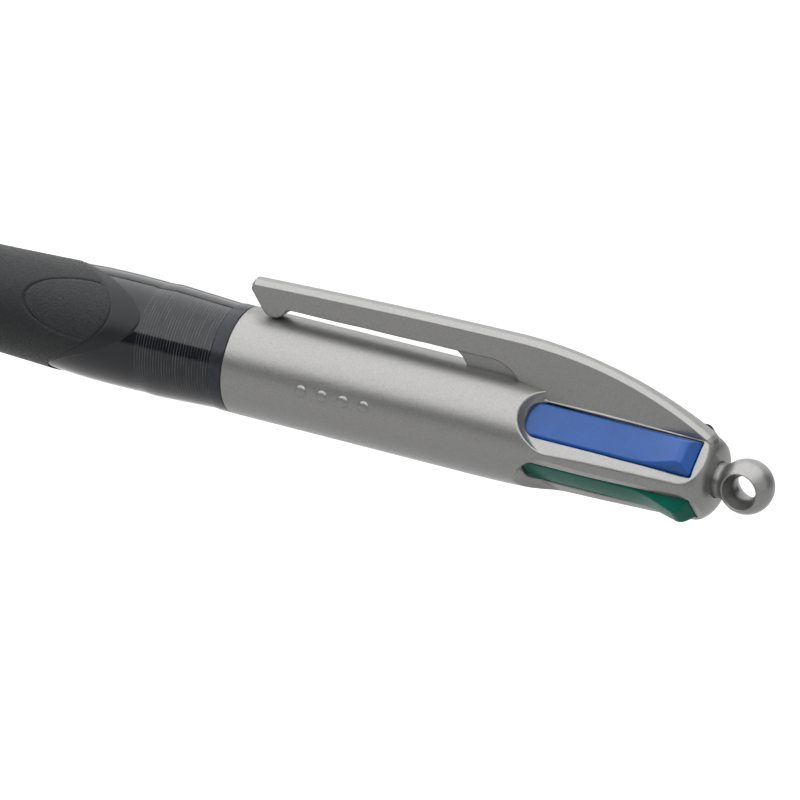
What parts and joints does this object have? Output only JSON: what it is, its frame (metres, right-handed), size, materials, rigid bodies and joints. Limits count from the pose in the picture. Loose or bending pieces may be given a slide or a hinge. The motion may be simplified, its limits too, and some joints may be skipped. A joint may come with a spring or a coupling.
{
  "type": "multicolour click pen",
  "caption": "Retractable multicolour ballpoint pen: silver upper barrel with clip, thumb slides and lanyard ring, smoke lower barrel and soft petalled grip.",
  "frame": {"origin": "centre of the lanyard ball, on the pen's axis", "axes": "+X along the pen towards the lanyard ball, so the writing end is at -X; +Z towards the clip; Y along the lanyard hole"},
  "size_m": [0.147, 0.0126, 0.0175],
  "materials": {
    "silver": "satin metallic silver paint",
    "ring_dark": "gloss",
    "smoke": "gloss, smoke-tinted translucent",
    "grip_rubber": "fine matt grain",
    "inner_plastic": "satin",
    "spring_steel": "bright drawn wire",
    "holder_metal": "turned nickel silver",
    "ball_metal": "polished",
    "tube_plastic": "gloss, clear translucent",
    "slide_blue": "satin gloss",
    "slide_green": "satin gloss",
    "slide_red": "satin gloss",
    "slide_black": "satin gloss",
    "ink_blue": "wet",
    "ink_green": "wet",
    "ink_red": "wet",
    "ink_black": "wet"
  },
  "bodies": {
    "upper": {"upper_barrel": "silver", "lanyard_ring": "silver", "guide_core": "inner_plastic", "spring_plate": "inner_plastic", "threaded_spigot": "smoke", "return_spring_blue": "spring_steel", "return_spring_green": "spring_steel", "return_spring_red": "spring_steel", "return_spring_black": "spring_steel"},
    "clip": {"clip_arm": "silver"},
    "ring": {"trim_ring": "ring_dark"},
    "lower": {"lower_barrel": "smoke", "rubber_grip": "grip_rubber"},
    "slide_blue": {"slide_blue": "slide_blue"},
    "refill_blue": {"ink_tube_blue": "tube_plastic", "ink_column_blue": "ink_blue", "point_holder_blue": "holder_metal", "writing_ball_blue": "ball_metal"},
    "slide_green": {"slide_green": "slide_green"},
    "refill_green": {"ink_tube_green": "tube_plastic", "ink_column_green": "ink_green", "point_holder_green": "holder_metal", "writing_ball_green": "ball_metal"},
    "slide_red": {"slide_red": "slide_red"},
    "refill_red": {"ink_tube_red": "tube_plastic", "ink_column_red": "ink_red", "point_holder_red": "holder_metal", "writing_ball_red": "ball_metal"},
    "slide_black": {"slide_black": "slide_black"},
    "refill_black": {"ink_tube_black": "tube_plastic", "ink_column_black": "ink_black", "point_holder_black": "holder_metal", "writing_ball_black": "ball_metal"}
  },
  "joints": [
    {"name": "clip_flex", "type": "hinge", "parent": "upper", "child": "clip", "pos_m": [-0.0366, 0, 0.01095], "axis": [0, 1, 0], "range_deg": [0, 5], "stiffness_Nm_per_rad": 0.8},
    {"name": "ring_shift", "type": "slide", "parent": "upper", "child": "ring", "axis": [-1, 0, 0], "range_m": [0, 0.003]},
    {"name": "unscrew", "type": "hinge", "parent": "ring", "child": "lower", "pos_m": [-0.0633, 0, 0], "axis": [-1, 0, 0], "range_deg": [0, 1080]},
    {"name": "press_blue", "type": "slide", "parent": "upper", "child": "slide_blue", "axis": [-1, 0, 0], "range_m": [0, 0.0105], "stiffness_N_per_m": 60, "springref_m": -0.004, "deforming": ["return_spring_blue"]},
    {"name": "lean_blue", "type": "hinge", "parent": "slide_blue", "child": "refill_blue", "pos_m": [-0.039, -0.00205, 0.00205], "axis": [0, -0.7071, -0.7071], "range_deg": [0, 1.73], "deforming": ["ink_tube_blue", "ink_column_blue", "point_holder_blue", "writing_ball_blue"]},
    {"name": "press_green", "type": "slide", "parent": "upper", "child": "slide_green", "axis": [-1, 0, 0], "range_m": [0, 0.0105], "stiffness_N_per_m": 60, "springref_m": -0.004, "deforming": ["return_spring_green"]},
    {"name": "lean_green", "type": "hinge", "parent": "slide_green", "child": "refill_green", "pos_m": [-0.039, -0.00205, -0.00205], "axis": [0, 0.7071, -0.7071], "range_deg": [0, 1.73], "deforming": ["ink_tube_green", "ink_column_green", "point_holder_green", "writing_ball_green"]},
    {"name": "press_red", "type": "slide", "parent": "upper", "child": "slide_red", "axis": [-1, 0, 0], "range_m": [0, 0.0105], "stiffness_N_per_m": 60, "springref_m": -0.004, "deforming": ["return_spring_red"]},
    {"name": "lean_red", "type": "hinge", "parent": "slide_red", "child": "refill_red", "pos_m": [-0.039, 0.00205, -0.00205], "axis": [0, 0.7071, 0.7071], "range_deg": [0, 1.73], "deforming": ["ink_tube_red", "ink_column_red", "point_holder_red", "writing_ball_red"]},
    {"name": "press_black", "type": "slide", "parent": "upper", "child": "slide_black", "axis": [-1, 0, 0], "range_m": [0, 0.0105], "stiffness_N_per_m": 60, "springref_m": -0.004, "deforming": ["return_spring_black"]},
    {"name": "lean_black", "type": "hinge", "parent": "slide_black", "child": "refill_black", "pos_m": [-0.039, 0.00205, 0.00205], "axis": [0, -0.7071, 0.7071], "range_deg": [0, 1.73], "deforming": ["ink_tube_black", "ink_column_black", "point_holder_black", "writing_ball_black"]}
  ],
  "couplings": [
    {"joint": "unscrew", "follows": "ring_shift", "rad_per_m": 6283.2},
    {"joint": "lean_blue", "follows": "press_blue", "rad_per_m": 2.8495},
    {"joint": "lean_green", "follows": "press_green", "rad_per_m": 2.8495},
    {"joint": "lean_red", "follows": "press_red", "rad_per_m": 2.8495},
    {"joint": "lean_black", "follows": "press_black", "rad_per_m": 2.8495}
  ]
}
